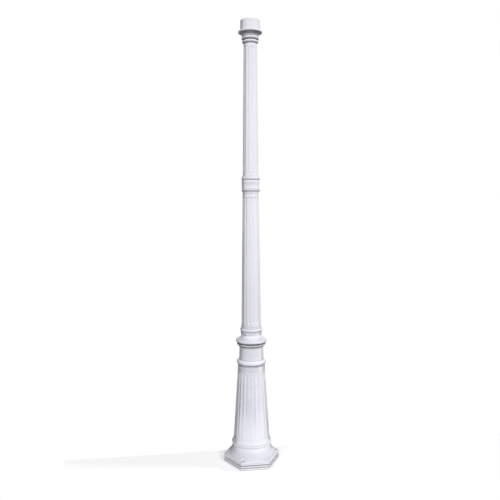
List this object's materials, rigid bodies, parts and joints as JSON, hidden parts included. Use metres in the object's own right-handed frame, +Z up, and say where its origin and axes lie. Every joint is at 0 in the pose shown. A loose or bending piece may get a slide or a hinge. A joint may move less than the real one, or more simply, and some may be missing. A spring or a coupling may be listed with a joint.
{
  "type": "lamp post",
  "caption": "Tall tapered decorative lamp post with a hexagonal foot, a fluted column, ringed fluted shafts and a round post-top fitter, without a lantern.",
  "frame": {"origin": "centre of the foot's underside, on the ground", "axes": "+Z up along the post's axis; X through two opposite corners of the hexagonal foot; a flat face of the foot looks along -Y"},
  "size_m": [0.2286, 0.198, 1.7272],
  "materials": {
    "white_paint": "satin",
    "stainless_steel": "satin"
  },
  "bodies": {
    "root": {"foot_slab": "white_paint", "base_bell": "white_paint", "base_ring": "white_paint", "column_flare": "white_paint", "fluted_column": "white_paint", "column_band": "white_paint", "column_bead": "white_paint", "neck": "white_paint", "collar_moulding": "white_paint", "collar": "white_paint", "collar_shoulder": "white_paint", "socket_scotia": "white_paint", "socket_bead": "white_paint", "socket_band": "white_paint", "set_screws": "stainless_steel", "lower_shaft": "white_paint", "coupling_foot": "white_paint", "coupling_lower_ring": "white_paint", "coupling_waist": "white_paint", "coupling_band": "white_paint", "coupling_upper_ring": "white_paint", "upper_shaft": "white_paint", "capital_lower_ring": "white_paint", "capital_upper_ring": "white_paint", "capital_throat": "white_paint", "fitter_flange": "white_paint", "fitter_tube": "white_paint"}
  },
  "joints": []
}
